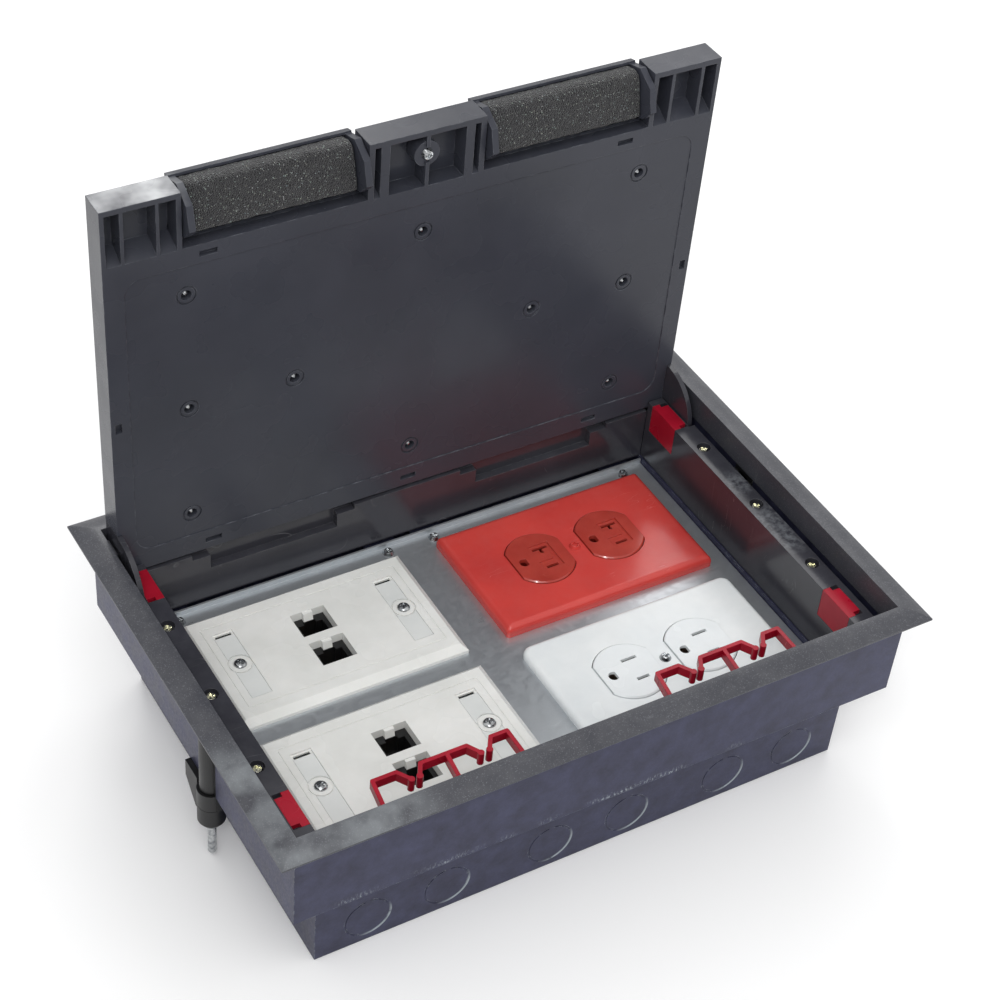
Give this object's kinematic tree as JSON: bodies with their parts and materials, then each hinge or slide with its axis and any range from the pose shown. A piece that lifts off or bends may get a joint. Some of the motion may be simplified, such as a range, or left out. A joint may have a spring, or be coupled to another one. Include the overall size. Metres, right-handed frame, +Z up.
{
  "type": "floor socket box",
  "caption": "Recessed floor socket box with a hinged lid, swinging cable flaps, data plates and duplex receptacle plates in a stepped steel pan.",
  "frame": {"origin": "centre of the lower steel tier's underside", "axes": "+X along the long side, +Y towards the lid's hinge, +Z up out of the floor"},
  "size_m": [0.32, 0.218, 0.272],
  "materials": {
    "pan_steel": "satin",
    "bezel_plastic": "textured",
    "black_plastic": "satin",
    "red_plastic": "gloss",
    "lid_plastic": "satin",
    "galvanised_steel": "brushed",
    "foam": "matte",
    "yellow_zinc": "satin",
    "zinc": "satin",
    "ivory_plastic": "satin",
    "white_plastic": "gloss",
    "device_red_plastic": "gloss",
    "face_red_plastic": "gloss"
  },
  "bodies": {
    "box": {"upper_pan": "pan_steel", "lower_pan": "pan_steel", "bezel_frame": "bezel_plastic", "side_rail_left": "black_plastic", "side_rail_right": "black_plastic", "rail_clips": "red_plastic", "rear_liner": "black_plastic", "front_liner": "black_plastic", "cable_comb_left": "red_plastic", "cable_comb_right": "red_plastic", "hinge_pins": "zinc", "mounting_plate": "galvanised_steel", "mounting_screws": "zinc", "rail_screws": "yellow_zinc", "data_plate_rear": "ivory_plastic", "data_plate_front": "ivory_plastic", "label_covers": "ivory_plastic", "data_jacks": "black_plastic", "data_plate_screws": "zinc", "red_wall_plate": "device_red_plastic", "red_receptacle": "face_red_plastic", "white_wall_plate": "white_plastic", "white_receptacle": "white_plastic", "receptacle_yokes": "galvanised_steel", "red_plate_screw": "device_red_plastic", "white_plate_screw": "zinc", "clamp_bracket_left": "black_plastic", "clamp_bracket_right": "black_plastic"},
    "lid": {"lid_shell": "lid_plastic", "lid_stiffener_plate": "galvanised_steel", "lid_studs": "zinc", "lid_screw": "zinc", "hinge_ear_left": "black_plastic", "hinge_ear_right": "black_plastic"},
    "flap_left": {"cable_flap_left": "lid_plastic", "flap_foam_left": "foam"},
    "flap_right": {"cable_flap_right": "lid_plastic", "flap_foam_right": "foam"},
    "clamp_jaw_left_body": {"clamp_jaw_left": "black_plastic"},
    "clamp_jaw_right_body": {"clamp_jaw_right": "black_plastic"},
    "clamp_screw_left_body": {"clamp_screw_left": "zinc"},
    "clamp_screw_right_body": {"clamp_screw_right": "zinc"}
  },
  "joints": [
    {"name": "lid_hinge", "type": "hinge", "parent": "box", "child": "lid", "pos_m": [0, 0.08865, 0.08615], "axis": [1, 0, 0], "range_deg": [0, 90]},
    {"name": "flap_hinge_left", "type": "hinge", "parent": "lid", "child": "flap_left", "pos_m": [-0.0695, 0.094, 0.251], "axis": [1, 0, 0], "range_deg": [-75, 15]},
    {"name": "flap_hinge_right", "type": "hinge", "parent": "lid", "child": "flap_right", "pos_m": [0.0695, 0.094, 0.251], "axis": [1, 0, 0], "range_deg": [-75, 15]},
    {"name": "clamp_swing_left", "type": "hinge", "parent": "box", "child": "clamp_jaw_left_body", "pos_m": [-0.15, -0.0203, 0.03], "axis": [0, 0, 1], "range_deg": [0, 90]},
    {"name": "clamp_swing_right", "type": "hinge", "parent": "box", "child": "clamp_jaw_right_body", "pos_m": [0.15, 0.0203, 0.03], "axis": [0, 0, 1], "range_deg": [0, 90]},
    {"name": "clamp_turn_left", "type": "hinge", "parent": "box", "child": "clamp_screw_left_body", "pos_m": [-0.15, -0.0203, 0.04], "axis": [0, 0, 1], "continuous": true},
    {"name": "clamp_turn_right", "type": "hinge", "parent": "box", "child": "clamp_screw_right_body", "pos_m": [0.15, 0.0203, 0.04], "axis": [0, 0, 1], "continuous": true}
  ]
}
